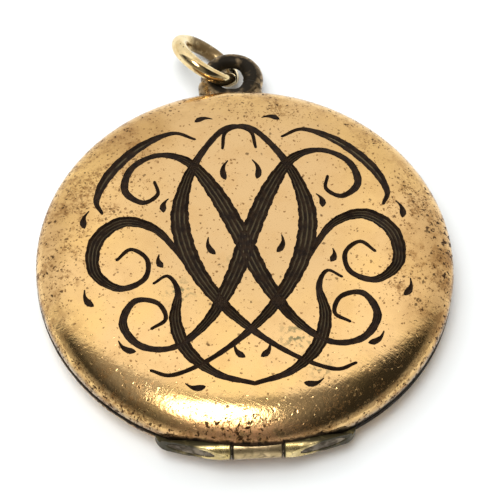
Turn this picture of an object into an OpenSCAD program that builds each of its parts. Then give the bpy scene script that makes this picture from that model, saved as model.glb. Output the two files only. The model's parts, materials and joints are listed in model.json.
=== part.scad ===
// Round folding locket: two domed halves on a barrel hinge, a soldered bail loop and a jump ring.
// The locket lies on its back. Z = 0 is the flat of the back cover, +Z comes out of the front cover,
// the hinge is at -Y and the bail at +Y. All sizes are in millimetres.

/* [Case] */
// Diameter of the case across the seam
case_d = 32; // [31.5:0.1:32.5]
// Thickness of the closed case
case_t = 5.5; // [5.4:0.05:5.8]
// Height of the upright wall beside the seam, on each half
wall_h = 0.35; // [0.3:0.01:0.4]
// Thickness of the cover sheet
sheet_t = 0.4; // [0.35:0.01:0.45]
// Gap between the halves when the locket is shut
seam_gap = 0.1; // [0.06:0.01:0.12]
// Diameter of the level middle of the front cover
front_flat_d = 4; // [3:0.5:6]
// Diameter of the flat that the back cover rests on
back_flat_d = 16; // [14:0.5:17]

/* [Hinge] */
// Diameter of the hinge barrel
barrel_d = 1.6; // [1.56:0.02:1.64]
// Distance of the hinge axis inside the case's edge
barrel_inset = 0.35; // [0.3:0.01:0.4]
// Length of the middle knuckle
centre_knuckle_l = 3.7; // [3.4:0.1:4]
// Gap between neighbouring knuckles
knuckle_gap = 0.1; // [0.06:0.01:0.14]
// Diameter of the hinge pin
pin_d = 1; // [0.94:0.01:1.02]
// Play all round the pin and round the barrel
pin_play = 0.03; // [0.02:0.01:0.05]

/* [Picture frames] */
// Diameter of the picture that shows inside each frame
picture_d = 25.2; // [24.8:0.1:25.4]
// Height of the snap lip above the back half
lip_h = 0.6; // [0.5:0.02:0.62]
// Play between the snap lip and the front rim
lip_play = 0.15; // [0.12:0.01:0.16]

/* [Bail and jump ring] */
// Outside diameter of the soldered bail loop
bail_d = 5.08; // [5.04:0.01:5.12]
// Thickness of the bail loop's wire
bail_wire_d = 1.16; // [1.12:0.01:1.18]
// Outside diameter of the jump ring
jump_d = 6.24; // [6.22:0.01:6.26]
// Thickness of the jump ring's wire
jump_wire_d = 1.12; // [1.08:0.01:1.14]
// Width of the saw cut in the jump ring
jump_cut = 0.05; // [0.04:0.01:0.08]

/* [Hidden] */
$fn = 128;
slack = 1; // how far cutting solids run past what they cut

// Case
case_r = case_d / 2;
inner_r = case_r - sheet_t;
mid_z = case_t / 2;
back_seam_z = mid_z - seam_gap / 2;
front_seam_z = mid_z + seam_gap / 2;
dome_h = back_seam_z - wall_h;
front_flat_r = front_flat_d / 2;
back_flat_r = back_flat_d / 2;
front_power = 5.5; // how late the front dome turns down
back_power = 2.5; // how late the back dome turns up
dome_step = 3; // degrees between points of a dome's outline

// Snap lip, rims and picture frames, as radii and as depths below the seam of their half
lip_inset = 1.95; // from the edge of the case in to the snap lip
lip_t = 0.35;
lip_outer_r = case_r - lip_inset;
lip_inner_r = lip_outer_r - lip_t;
recess_r = lip_outer_r + lip_play;
recess_depth = 0.7;
skirt_t = 0.3;
step_t = 0.1;
ledge_inset = 0.3; // how far the ledge stops short of the picture's edge
ledge_r = picture_d / 2 + ledge_inset;
ledge_t = 0.15;
stack_play = 0.05; // all round the pieces that drop into a rim
card_t = 0.15;
window_t = 0.17;
bezel_t = 0.4;
bezel_slope_w = 0.3; // width of the slope that runs down to the picture
chamfer = 0.12; // on the outer edge of a bezel and of the snap lip
back_ledge_depth = 0.95;
back_card_depth = back_ledge_depth - card_t;
back_window_depth = back_card_depth - card_t;
back_bezel_depth = back_window_depth - window_t;
front_ledge_depth = 1.2;
front_card_depth = front_ledge_depth - card_t;
front_window_depth = front_card_depth - card_t;
front_bezel_depth = front_window_depth - window_t;
back_cup_r = lip_inner_r;
front_cup_r = lip_inner_r - step_t;

// Catch nib, a cap of a small ball on the outside of the snap lip
nib_ball_r = 0.45;
nib_reach = 0.11;
nib_rise = 0.2; // from the seam up to the middle of the nib
nib_z = mid_z + nib_rise;

// Hinge
barrel_r = barrel_d / 2;
barrel_play = 0.08; // round a knuckle that turns in the other half
barrel_play_r = barrel_r + barrel_play;
barrel_y = -case_r + barrel_inset;
pin_r = pin_d / 2;
bore_r = pin_r + pin_play;
notch_y = 14.5; // how far from the middle the rims stop at the hinge
centre_half_l = centre_knuckle_l / 2;
barrel_half_l = 7.5;
channel_half_l = 8.4;
leaf_from_x = 3;
leaf_depth = 0.85; // from the seam down to the foot of a hinge leaf
leaf_back = 1.9; // from the hinge axis to the back of a hinge leaf
facet_x = 5; // where the filed face crosses the hinge axis
facet_angle = 16.7; // between the filed face and the hinge axis
pin_recess = 0.03; // from the filed face in to the end of the pin
file_reach = 8; // how far the file's cut runs from where it crosses the axis

// Bail loop and jump ring
bail_wire_r = bail_wire_d / 2;
bail_ring_r = bail_d / 2 - bail_wire_r;
bail_y = case_r + 2.25; // the bail loop's centre, held in its solder
bail_z = 2.05;
solder_r = 0.64;
foot_y = case_r + 0.1; // middle of the solder along the case
web_y = case_r + 0.7; // middle of the solder in the bottom of the loop
web_r = 0.6;
web_x = -1.6; // left end of the solder in the bottom of the loop
web_l = 2.6;
left_leg_x = -2.15; // the solder runs further up the left of the loop
left_leg_y = case_r + 1.6;
right_leg_x = 1.75;
right_leg_y = case_r + 1;
jump_wire_r = jump_wire_d / 2;
jump_ring_r = jump_d / 2 - jump_wire_r;
jump_centre = [-2.045, 20.059, 2.371];
jump_tilt = 44.7; // from level, leaning over the bail loop
jump_turn = 38.65; // which way it leans, about Z
jump_cut_angle = -75; // where the saw cut is, round the ring

// Colours
rolled_gold = [0.80, 0.60, 0.36];
bright_gold = [0.88, 0.72, 0.42];
dark_brass = [0.34, 0.27, 0.18];
hinge_brass = [0.62, 0.52, 0.28];
lining_brass = [0.72, 0.58, 0.34];
pin_steel = [0.42, 0.40, 0.38];
clear_sheet = [0.95, 0.90, 0.72, 0.35];
paper = [0.90, 0.84, 0.70];

// Builds its children on the back half: their +Z is depth below the seam.
module on_back() translate([0, 0, back_seam_z]) mirror([0, 0, 1]) children();

// Builds its children on the front half: their +Z is depth above the seam.
module on_front() translate([0, 0, front_seam_z]) children();

// Outline of one dome from the middle out to its wall, as [radius, depth] points.
function dome_points(radius, height, depth, flat_r, power) = concat(
    [[0, depth + height]],
    [for (a = [0 : dome_step : 90])
        [flat_r + (radius - flat_r) * pow(sin(a), 2 / power), depth + height * cos(a)]]
);

function reversed(points) = [for (i = [len(points) - 1 : -1 : 0]) points[i]];

// The whole of one half, filled, out to its outer surface.
module filled_half(flat_r, power)
    rotate_extrude()
        polygon(concat([[0, 0]], dome_points(case_r, dome_h, wall_h, flat_r, power), [[case_r, 0]]));

// The pressed sheet of one half.
module cover_shell(flat_r, power)
    rotate_extrude()
        polygon(concat(
            dome_points(case_r, dome_h, wall_h, flat_r, power),
            [[case_r, 0], [inner_r, 0]],
            reversed(dome_points(inner_r, dome_h - sheet_t, wall_h, flat_r, power))
        ));

// A round bar on the hinge axis from x0 to x1.
module hinge_bar(radius, x0, x1)
    translate([x0, barrel_y, mid_z]) rotate([0, 90, 0]) cylinder(r = radius, h = x1 - x0);

// The room that the barrel takes in a half: close to its own knuckles, with play round the others.
module hinge_channel(centre_r, outer_r) {
    half_gap_x = centre_half_l + knuckle_gap / 2;
    hinge_bar(centre_r, -half_gap_x, half_gap_x);
    for (side = [-1, 1])
        hinge_bar(outer_r, min(side * half_gap_x, side * channel_half_l),
            max(side * half_gap_x, side * channel_half_l));
}

// What is cut off the flange of a rim, to let the barrel through.
module rim_notch()
    translate([-case_r, -case_r - notch_y, 0]) cube([case_d, case_r, case_t]);

// What the file took off the right end of the barrel, moved in from its face by inset.
module end_facet(inset = 0)
    translate([facet_x, barrel_y, 0]) rotate([0, 0, facet_angle])
        translate([-file_reach, -file_reach, 0])
            cube([2 * file_reach, file_reach + inset, case_t]);

// A flat disc or ring that drops into a rim, by radii and depths.
module ring_layer(outer_r, inner_r, from_depth, to_depth)
    translate([0, 0, from_depth]) difference() {
        cylinder(r = outer_r, h = to_depth - from_depth);
        if (inner_r > 0)
            translate([0, 0, -slack]) cylinder(r = inner_r, h = 2 * slack + to_depth);
    }

// Bezel section: a flat band with a sloped inner edge that frames the picture.
module bezel(outer_r, from_depth) {
    picture_r = picture_d / 2;
    rotate_extrude()
        polygon([
            [picture_r, from_depth + bezel_t],
            [picture_r, from_depth + bezel_t / 2],
            [picture_r + bezel_slope_w, from_depth],
            [outer_r - chamfer, from_depth],
            [outer_r, from_depth + chamfer],
            [outer_r, from_depth + bezel_t]
        ]);
}

// Back half -------------------------------------------------------------------------------

module back_cover() color(rolled_gold) difference() {
    on_back() cover_shell(back_flat_r, back_power);
    hinge_channel(barrel_play_r, barrel_r);
}

module back_rim() color(lining_brass) difference() {
    on_back() rotate_extrude() polygon([
        [inner_r, 0],
        [inner_r, wall_h],
        [lip_outer_r + skirt_t, wall_h],
        [lip_outer_r + skirt_t, back_ledge_depth + ledge_t],
        [ledge_r, back_ledge_depth + ledge_t],
        [ledge_r, back_ledge_depth],
        [lip_outer_r, back_ledge_depth],
        [lip_outer_r, 0]
    ]);
    rim_notch();
}

module back_lining() color(lining_brass) on_back()
    ring_layer(back_cup_r - stack_play, 0, back_card_depth, back_ledge_depth);

module back_picture_card() color(paper) on_back()
    ring_layer(back_cup_r - stack_play, 0, back_window_depth, back_card_depth);

module back_window() color(clear_sheet) on_back()
    ring_layer(back_cup_r - stack_play, 0, back_bezel_depth, back_window_depth);

module back_bezel() color(bright_gold) on_back()
    bezel(back_cup_r - stack_play, back_bezel_depth - bezel_t);

module snap_lip() color(lining_brass) on_back()
    rotate_extrude() polygon([
        [lip_inner_r, back_ledge_depth],
        [lip_inner_r, -lip_h],
        [lip_outer_r - chamfer, -lip_h],
        [lip_outer_r, -lip_h + chamfer],
        [lip_outer_r, back_ledge_depth]
    ]);

module catch_nib() color(lining_brass) difference() {
    translate([0, lip_outer_r + nib_reach - nib_ball_r, nib_z]) sphere(r = nib_ball_r);
    cylinder(r = lip_outer_r, h = case_t);
}

// The right knuckle of the back half, with the soldered leaf that runs out along the case.
module outer_knuckle() color(hinge_brass) difference() {
    union() {
        hinge_bar(barrel_r, centre_half_l + knuckle_gap, barrel_half_l);
        difference() {
            translate([leaf_from_x, barrel_y, back_seam_z - leaf_depth])
                cube([barrel_half_l - leaf_from_x, leaf_back, leaf_depth]);
            on_back() filled_half(back_flat_r, back_power);
        }
    }
    end_facet();
    hinge_bar(bore_r, 0, barrel_half_l + slack);
}

module hinge_knuckle_right() outer_knuckle();

module hinge_knuckle_left() mirror([1, 0, 0]) outer_knuckle();

module hinge_pin() color(pin_steel) difference() {
    hinge_bar(pin_r, -barrel_half_l, barrel_half_l);
    end_facet(pin_recess);
    mirror([1, 0, 0]) end_facet(pin_recess);
}

module wire_ring(ring_r, wire_r) rotate_extrude() translate([ring_r, 0]) circle(r = wire_r);

module bail_torus() translate([0, bail_y, bail_z]) wire_ring(bail_ring_r, bail_wire_r);

module bail_loop() color(dark_brass) difference() {
    bail_torus();
    on_back() filled_half(back_flat_r, back_power);
}

// A rod with round ends from a point, along X by dx or along Y by dy.
module solder_rod(radius, x, y, dx, dy) translate([x, y, bail_z]) {
    rotate([dy > 0 ? -90 : 0, dx > 0 ? 90 : 0, 0]) cylinder(r = radius, h = dx + dy);
    sphere(r = radius);
    translate([dx, dy, 0]) sphere(r = radius);
}

module bail_solder() color(dark_brass) difference() {
    union() {
        solder_rod(solder_r, left_leg_x, foot_y, right_leg_x - left_leg_x, 0);
        solder_rod(web_r, web_x, web_y, web_l, 0);
        solder_rod(solder_r, left_leg_x, foot_y, 0, left_leg_y - foot_y);
        solder_rod(solder_r, right_leg_x, foot_y, 0, right_leg_y - foot_y);
    }
    bail_torus();
    on_back() filled_half(back_flat_r, back_power);
}

// Front half ------------------------------------------------------------------------------

module front_cover() color(rolled_gold) difference() {
    on_front() cover_shell(front_flat_r, front_power);
    hinge_channel(barrel_r, barrel_play_r);
}

module front_rim() color(lining_brass) difference() {
    on_front() rotate_extrude() polygon([
        [inner_r, 0],
        [inner_r, wall_h],
        [recess_r + skirt_t, wall_h],
        [recess_r + skirt_t, recess_depth + step_t],
        [front_cup_r + skirt_t, recess_depth + step_t],
        [front_cup_r + skirt_t, front_ledge_depth + ledge_t],
        [ledge_r, front_ledge_depth + ledge_t],
        [ledge_r, front_ledge_depth],
        [front_cup_r, front_ledge_depth],
        [front_cup_r, recess_depth],
        [recess_r, recess_depth],
        [recess_r, 0]
    ]);
    rim_notch();
}

module front_lining() color(lining_brass) on_front()
    ring_layer(front_cup_r - stack_play, 0, front_card_depth, front_ledge_depth);

module front_picture_card() color(paper) on_front()
    ring_layer(front_cup_r - stack_play, 0, front_window_depth, front_card_depth);

module front_window() color(clear_sheet) on_front()
    ring_layer(front_cup_r - stack_play, 0, front_bezel_depth, front_window_depth);

module front_bezel() color(bright_gold) on_front()
    bezel(front_cup_r - stack_play, front_bezel_depth - bezel_t);

module hinge_knuckle_centre() color(hinge_brass) difference() {
    hinge_bar(barrel_r, -centre_half_l, centre_half_l);
    hinge_bar(bore_r, -centre_half_l - slack, centre_half_l + slack);
}

// Jump ring -------------------------------------------------------------------------------

module jump_ring() color(bright_gold)
    translate(jump_centre) rotate([0, jump_tilt, jump_turn]) difference() {
        wire_ring(jump_ring_r, jump_wire_r);
        rotate([0, 0, jump_cut_angle]) translate([0, -jump_cut / 2, -slack])
            cube([jump_d, jump_cut, 2 * slack]);
    }

back_cover();
back_rim();
back_lining();
back_picture_card();
back_window();
back_bezel();
snap_lip();
catch_nib();
hinge_knuckle_left();
hinge_knuckle_right();
hinge_pin();
bail_loop();
bail_solder();
front_cover();
front_rim();
front_lining();
front_picture_card();
front_window();
front_bezel();
hinge_knuckle_centre();
jump_ring();
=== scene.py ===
"""Looks of a round folding picture locket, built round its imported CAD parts.

Shapes are made in millimetres in the row frame and turned into metres as each piece is finished.
The driving sizes are read from the CAD nodes; the rest are named here.
"""

import json
import math
from collections import namedtuple

import bmesh
import bpy
import numpy as np
from mathutils import Matrix, Vector
from mathutils.geometry import delaunay_2d_cdt
from mathutils.kdtree import KDTree


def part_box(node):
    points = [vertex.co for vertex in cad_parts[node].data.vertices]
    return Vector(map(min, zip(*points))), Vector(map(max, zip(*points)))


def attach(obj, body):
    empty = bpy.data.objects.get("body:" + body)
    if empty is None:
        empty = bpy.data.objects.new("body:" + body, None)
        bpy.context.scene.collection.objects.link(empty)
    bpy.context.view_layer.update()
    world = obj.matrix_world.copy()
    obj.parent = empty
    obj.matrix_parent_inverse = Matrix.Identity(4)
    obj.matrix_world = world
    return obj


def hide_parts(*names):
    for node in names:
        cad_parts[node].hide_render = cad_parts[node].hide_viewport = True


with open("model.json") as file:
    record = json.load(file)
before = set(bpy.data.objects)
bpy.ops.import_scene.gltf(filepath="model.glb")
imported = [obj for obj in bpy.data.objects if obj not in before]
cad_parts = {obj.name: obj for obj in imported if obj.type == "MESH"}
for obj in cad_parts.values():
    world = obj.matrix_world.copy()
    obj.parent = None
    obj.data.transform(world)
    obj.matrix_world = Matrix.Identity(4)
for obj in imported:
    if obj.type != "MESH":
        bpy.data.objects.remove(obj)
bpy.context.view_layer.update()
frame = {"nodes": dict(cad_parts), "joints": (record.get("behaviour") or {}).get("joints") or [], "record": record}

MM = 0.001


# ---- sizes from the frame


def box_mm(node):
    """Lowest and highest corner of a CAD node, in millimetres."""
    low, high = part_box(node)
    return [round(v / MM, 3) for v in low], [round(v / MM, 3) for v in high]


JOINTS = {joint["name"]: joint for joint in frame["joints"]}
FRONT_LOW, FRONT_HIGH = box_mm("front_cover")
BACK_LOW, BACK_HIGH = box_mm("back_cover")
CASE_R = FRONT_HIGH[0]
FRONT_SEAM, BACK_SEAM = FRONT_LOW[2], BACK_HIGH[2]
SEAM_Z = (FRONT_SEAM + BACK_SEAM) / 2
HALF_T = BACK_SEAM - BACK_LOW[2]
HINGE_Y, HINGE_Z = (v / MM for v in JOINTS["lid_hinge"]["pos_m"][1:])
KNUCKLE_LOW, KNUCKLE_HIGH = box_mm("hinge_knuckle_centre")
BARREL_R = (KNUCKLE_HIGH[2] - KNUCKLE_LOW[2]) / 2
CENTRE_X = KNUCKLE_HIGH[0]
OUTER_HIGH = box_mm("hinge_knuckle_right")[1]
BAIL_LOW, BAIL_HIGH = box_mm("bail_loop")
RING_MOUNT = next(m for m in frame["record"]["mounts"] if m["name"] == "chain_ring")
RING_CENTRE = Vector(RING_MOUNT["pos_m"]) / MM
RING_NORMAL = Vector(RING_MOUNT["axis"]).normalized()

# A half of the case: the height of its seam, the way that depth goes from there, and its body
Half = namedtuple("Half", "seam up body")
BACK, FRONT = Half(BACK_SEAM, -1, "back_half"), Half(FRONT_SEAM, 1, "front_half")

# Case
WALL_H = 0.35
SHEET_T = 0.4
FRONT_FLAT_R, FRONT_POWER = 2.0, 5.5
BACK_FLAT_R, BACK_POWER = 8.0, 2.5
SEAM_FILLET = 0.07
BARREL_PLAY = 0.08
CHANNEL_X = 8.4
WIDE_CHANNEL_R = BARREL_R + BARREL_PLAY
CHANNEL_CLEARANCE = 0.05

# How fine the meshes are
LATHE_SEGMENTS, BAR_SEGMENTS, CHANNEL_SEGMENTS, KNUCKLE_SEGMENTS, ROD_SEGMENTS = 256, 96, 160, 128, 48
OUTER_STEPS, INNER_STEPS, ROD_END_STEPS = 40, 16, 8
NORMAL_DETAIL = 40
SHARPEST_SMOOTH = math.cos(math.radians(38))
KNUCKLE_SHARP, RING_SHARP = math.radians(40), math.radians(50)
NEAR_CHANNEL = 0.02
TINY_R = 1e-6
WELD_DISTANCE, MERGE_DISTANCE = 1e-4, 1e-5

# Inside of each half, as radii and depths below its seam
INNER_R = CASE_R - SHEET_T
LIP_R = CASE_R - 1.95
LIP_T, LIP_H = 0.35, 0.6
LIP_CHAMFER = 0.12
RECESS_R = LIP_R + 0.15
SKIRT_T = 0.3
LEDGE_R = 12.9
LEDGE_T = 0.15
LINING_T, CARD_T, WINDOW_T, BEZEL_T = 0.15, 0.15, 0.17, 0.4
PICTURE_R = 12.6
STACK_PLAY = 0.05
AIR_GAP = 0.02
BACK_LEDGE, FRONT_LEDGE = 0.95, 1.2
RECESS_DEPTH, STEP_T = 0.7, 0.1
CUP_R = LIP_R - LIP_T - 0.1
NOTCH_Y = 14.5
RING_CORNER, DISC_CORNER, BEZEL_BEVEL = 0.035, 0.05, 0.12

# Hinge
KNUCKLE_GAP = 0.1
PIN_R, BORE_R = 0.5, 0.53
FACET_X, FACET_ANGLE = 5.0, 16.7
END_ARC_R = 1.3
END_SHORT, END_TURNS = 0.05, 7
PIN_RECESS = 0.03
PAST_END = OUTER_HIGH[0] + 1.5
KNUCKLE_CORNER = 0.07
LEAF_X, LEAF_DEPTH, LEAF_BACK = 3.0, 0.85, 1.9
KNUCKLE_VOXEL = 0.032
KNUCKLE_RELAX, PIN_RELAX = 12, 4

# Bail and jump ring
BAIL_WIRE_R = (BAIL_HIGH[2] - BAIL_LOW[2]) / 2
BAIL_R = (BAIL_HIGH[0] - BAIL_LOW[0]) / 2 - BAIL_WIRE_R
BAIL_CENTRE = Vector((0, BAIL_HIGH[1] - BAIL_R - BAIL_WIRE_R, (BAIL_HIGH[2] + BAIL_LOW[2]) / 2))
RING_R = 2.56
RING_CUT_ANGLE, RING_CUT = -75, 0.05
# Wire radius round the loop and round the ring, as (angle, radius): both are thinnest where they rub
BAIL_WIRE = [
    (-90, 0.7), (0, 0.82), (40, 0.74), (65, 0.62), (90, 0.6), (120, 0.6), (180, 0.66), (270, 0.7),
]
RING_WIRE = [(-180, 0.6), (-150, 0.56), (10, 0.56), (60, 0.6), (120, 0.62), (180, 0.6)]
WIRE_SIDES = 44
# How a sawn end of wire is rounded, as (share of the way in, share of the wire's radius), and how far
SAWN_END = [(0, 0.0), (0, 0.62), (0.12, 0.86), (0.4, 0.96), (1, 1.0)]
SAWN_SOFTNESS = 0.18
SOLDER_R = 0.62
# Rods of solder, as the two ends (x, y) of each
SOLDER_RODS = [
    ((-2.15, 16.1), (1.75, 16.1)), ((-1.6, 16.65), (1.0, 16.65)), ((-2.15, 16.1), (-2.15, 17.6)),
    ((1.75, 16.1), (1.75, 17.0)),
]
SOLDER_VOXEL, SOLDER_RELAX = 0.05, 10

# Engraving
DISC_R = 13.2
STROKE_STEP, SPLINE_STEP = 0.2, 0.02
FILL_STEP, FILL_FROM_RIM, FILL_FROM_CUT = 0.5, 0.35, 0.16
SINGLE_W, MULTI_W = 0.45, 0.75
CUT_PITCH = 0.34
MAX_CUT_DEPTH = 0.16
RIDGE_DEPTH = 0.07

# Strokes of the ornament's right half, as given points (x, y, width); the left half mirrors them
FLOURISH = {
    "stem_scroll": [
        (6.7, 6.3, 0.24), (6.5, 5.1, 0.32), (7.7, 4.4, 0.44), (9.0, 5.6, 0.6), (8.4, 7.7, 0.55),
        (6.3, 8.8, 0.48), (4.0, 8.0, 0.8), (2.1, 5.2, 1.3), (0.4, 1.3, 1.45), (-1.1, -2.6, 1.3),
        (-3.1, -6.2, 0.8), (-5.7, -8.4, 0.5), (-8.2, -8.2, 0.55), (-9.5, -6.3, 0.65),
        (-8.6, -4.4, 0.5), (-6.9, -4.6, 0.4), (-6.3, -6.0, 0.34), (-7.4, -6.8, 0.26),
    ],
    "inner_stem": [
        (-1.3, 9.2, 0.24), (-0.9, 10.9, 0.36), (0.9, 11.2, 0.5), (2.9, 8.9, 0.55), (4.3, 6.0, 0.95),
        (4.9, 2.6, 1.45), (4.1, -1.2, 1.4), (2.1, -4.8, 1.0), (-0.5, -7.6, 0.55),
        (-3.4, -9.7, 0.38), (-6.0, -10.7, 0.34), (-7.6, -10.2, 0.24),
    ],
    "side_tendril": [
        (4.1, -2.4, 0.26), (5.2, -0.2, 0.45), (6.9, 2.0, 0.7), (9.3, 2.7, 1.0), (11.3, 1.1, 1.15),
        (11.5, -1.6, 0.95), (9.7, -3.2, 0.6), (7.8, -2.5, 0.44), (7.5, -0.8, 0.38),
        (8.7, 0.2, 0.34), (9.8, -0.7, 0.26),
    ],
    "bowl": [
        (7.1, -2.9, 0.22), (6.0, -2.3, 0.3), (5.3, -3.7, 0.5), (5.6, -6.2, 0.95), (4.8, -8.8, 1.05),
        (2.7, -10.8, 0.6), (0.0, -11.7, 0.34),
    ],
    "arch": [
        (3.4, 10.2, 0.24), (5.2, 10.9, 0.4), (7.9, 9.6, 0.8), (10.2, 7.2, 0.85), (11.2, 4.9, 0.5),
        (10.8, 3.6, 0.24),
    ],
}
# Small comma cuts round it, as (x, y, heading in degrees, length), mirrored too
COMMAS = [
    (12.0, 3.2, 105, 1.5), (12.0, -3.8, 68, 1.5), (9.3, -8.1, 40, 1.5), (4.4, -11.6, 14, 1.4),
    (2.6, 12.1, 172, 1.3), (1.1, 7.2, 100, 1.7), (5.9, 4.1, 110, 1.2), (2.6, 0.3, 75, 1.5),
    (1.0, -8.9, 60, 1.3), (6.5, -0.9, 80, 1.1),
]
COMMA_W = 0.52


# ---- outlines


def dome_outline(radius, height, flat_r, power, start_r=0.0, steps=36):
    """Points (radius, depth below the seam) of a dome, from start_r out to its wall."""
    first = math.asin((max(start_r - flat_r, 0) / (radius - flat_r)) ** (power / 2))
    points = [] if start_r > flat_r else [(start_r, WALL_H + height)]
    for i in range(steps + 1):
        a = first + (math.pi / 2 - first) * i / steps
        r = flat_r + (radius - flat_r) * math.sin(a) ** (2 / power)
        points.append((r, WALL_H + height * math.cos(a)))
    return points


def dome_depth(r):
    """Depth of the front cover's outer face at radius r, as an array."""
    s = np.clip((r - FRONT_FLAT_R) / (CASE_R - FRONT_FLAT_R), 0, 1) ** (FRONT_POWER / 2)
    return WALL_H + (HALF_T - WALL_H) * np.sqrt(1 - s * s)


def fillet(before, corner, after, radius, steps=4):
    """Points of an arc that rounds off one corner of an outline."""
    p, c, q = (Vector(v) for v in (before, corner, after))
    u, v = (p - c).normalized(), (q - c).normalized()
    half = u.angle(v) / 2
    reach = min(radius / math.tan(half), (p - c).length * 0.45, (q - c).length * 0.45)
    radius = reach * math.tan(half)
    centre = c + (u + v).normalized() * (radius / math.sin(half))
    start, end = c + u * reach - centre, c + v * reach - centre
    turn = start.angle_signed(end)
    return [
        tuple(centre + Matrix.Rotation(-turn * i / steps, 2) @ start) for i in range(steps + 1)
    ]


def rounded(points, radius):
    """A closed outline with each of its corners rounded."""
    count = len(points)
    out = []
    for i, corner in enumerate(points):
        out += fillet(points[i - 1], corner, points[(i + 1) % count], radius)
    return out


def on_seam(outline, half):
    """Turns (radius, depth) points of the BACK or FRONT half into (radius, z)."""
    return [(r, half.seam + half.up * depth) for r, depth in outline]


# ---- meshes


def linked(name, data):
    obj = bpy.data.objects.new(name, data)
    bpy.context.scene.collection.objects.link(obj)
    return obj


def new_object(name, vertices, faces, smooth=True):
    mesh = bpy.data.meshes.new(name)
    mesh.from_pydata([tuple(v) for v in vertices], [], faces)
    mesh.validate()
    mesh.update()
    if smooth:
        mesh.shade_smooth()
    return linked(name, mesh)


def fix_normals(obj):
    shape = bmesh.new()
    shape.from_mesh(obj.data)
    bmesh.ops.recalc_face_normals(shape, faces=shape.faces)
    shape.to_mesh(obj.data)
    shape.free()


def solid(name, vertices, faces):
    """A smooth object whose faces all look outwards."""
    obj = new_object(name, vertices, faces)
    fix_normals(obj)
    return obj


def slab(low, high):
    """A box between two corners."""
    corners = [(x, y, z) for z in (low[2], high[2]) for y in (low[1], high[1]) for x in (low[0], high[0])]
    faces = [(0, 2, 3, 1), (4, 5, 7, 6), (0, 1, 5, 4), (2, 6, 7, 3), (0, 4, 6, 2), (1, 3, 7, 5)]
    return new_object("slab", corners, faces, smooth=False)


def bridged(rings, closed):
    """Faces between neighbouring rings of vertices; a ring of one vertex is a tip."""
    sides = max(len(ring) for ring in rings)
    faces = []
    for a, b in zip(rings, rings[1:] + (rings[:1] if closed else [])):
        for i in range(sides):
            j = (i + 1) % sides
            if len(a) == 1:
                faces.append((a[0], b[j], b[i]))
            elif len(b) == 1:
                faces.append((a[i], a[j], b[0]))
            else:
                faces.append((a[i], a[j], b[j], b[i]))
    return faces


def revolve(outline, closed, segments=LATHE_SEGMENTS, cap_start=False):
    """Vertices and faces of an outline of (radius, z) turned about the Z axis."""
    vertices, rings = [], []
    for r, z in outline:
        count = 1 if r < TINY_R else segments
        rings.append(range(len(vertices), len(vertices) + count))
        for i in range(count):
            a = 2 * math.pi * i / segments
            vertices.append((r * math.cos(a), r * math.sin(a), z))
    faces = bridged(rings, closed)
    if cap_start:
        faces.append(tuple(reversed(rings[0])))
    return vertices, faces


def turned_bar(name, outline, segments=BAR_SEGMENTS, closed=False):
    """A solid turned about the hinge axis, from (x, radius) points."""
    vertices, faces = revolve([(r, x) for x, r in outline], closed, segments)
    return solid(name, [(z, HINGE_Y + x, HINGE_Z + y) for x, y, z in vertices], faces)


def bake_modifiers(obj):
    """Replaces an object's mesh by what its modifiers make of it."""
    graph = bpy.context.evaluated_depsgraph_get()
    mesh = bpy.data.meshes.new_from_object(
        obj.evaluated_get(graph), preserve_all_data_layers=True, depsgraph=graph
    )
    old, obj.data = obj.data, mesh
    obj.modifiers.clear()
    bpy.data.meshes.remove(old)


def modify(obj, kind, **settings):
    modifier = obj.modifiers.new(kind.lower(), kind)
    for key, value in settings.items():
        setattr(modifier, key, value)


def combine(obj, other, operation):
    """Cuts, joins or intersects obj with other, which is then removed."""
    modify(obj, "BOOLEAN", operation=operation, solver="EXACT", object=other)
    bake_modifiers(obj)
    bpy.data.objects.remove(other)


def remesh(obj, voxel, relax):
    """Fuses an object's solids into one even skin and relaxes it, as solder and wear do."""
    modify(obj, "REMESH", mode="VOXEL", voxel_size=voxel, use_smooth_shade=True)
    modify(obj, "SMOOTH", factor=0.5, iterations=relax)
    bake_modifiers(obj)


def join(name, objects):
    """One object holding the meshes of several."""
    shape = bmesh.new()
    for o in objects:
        shape.from_mesh(o.data)
    mesh = bpy.data.meshes.new(name)
    shape.to_mesh(mesh)
    shape.free()
    for o in objects:
        bpy.data.objects.remove(o)
    mesh.shade_smooth()
    return linked(name, mesh)


def search_tree(points):
    tree = KDTree(len(points))
    for i, (x, y) in enumerate(points):
        tree.insert((x, y, 0), i)
    tree.balance()
    return tree


def outline_normals(outline, closed):
    """The outline's normal at each of its points."""
    points = [Vector(p) for p in outline]
    normals = []
    for i, p in enumerate(points):
        before = points[i - 1] if closed or i else p
        after = points[(i + 1) % len(points)] if closed or i + 1 < len(points) else p
        tangent = (after - before).normalized()
        normals.append(Vector((tangent.y, -tangent.x)))
    return normals


def smooth_normals(obj, outline, closed, channel=None, flat_slot=None):
    """Gives a turned piece the true normals of its outline, so that metal reflects cleanly.

    Faces of a cut channel get the normals of its cylinder, and faces of flat_slot stay flat."""
    mesh = obj.data
    tree, normals = search_tree(outline), outline_normals(outline, closed)
    options = []
    for vertex in mesh.vertices:
        p = vertex.co
        r = math.hypot(p.x, p.y)
        n = normals[tree.find((r, p.z, 0))[1]]
        found = [Vector((n.x * p.x / r, n.x * p.y / r, n.y)) if r > TINY_R else Vector((0, 0, 1))]
        if channel:
            away = Vector((0, p.y - HINGE_Y, p.z - HINGE_Z))
            if away.length < channel + NEAR_CHANNEL:
                found.append(away.normalized())
        options.append(found)
    out = [None] * len(mesh.loops)
    for face in mesh.polygons:
        flat = face.normal
        for loop, index in zip(face.loop_indices, face.vertices):
            out[loop] = flat
            if face.material_index == flat_slot:
                continue
            best = max(options[index], key=lambda v: abs(v.dot(flat)))
            if abs(best.dot(flat)) > SHARPEST_SMOOTH:
                out[loop] = best if best.dot(flat) > 0 else -best
    mesh.normals_split_custom_set([tuple(n) for n in out])


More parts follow.
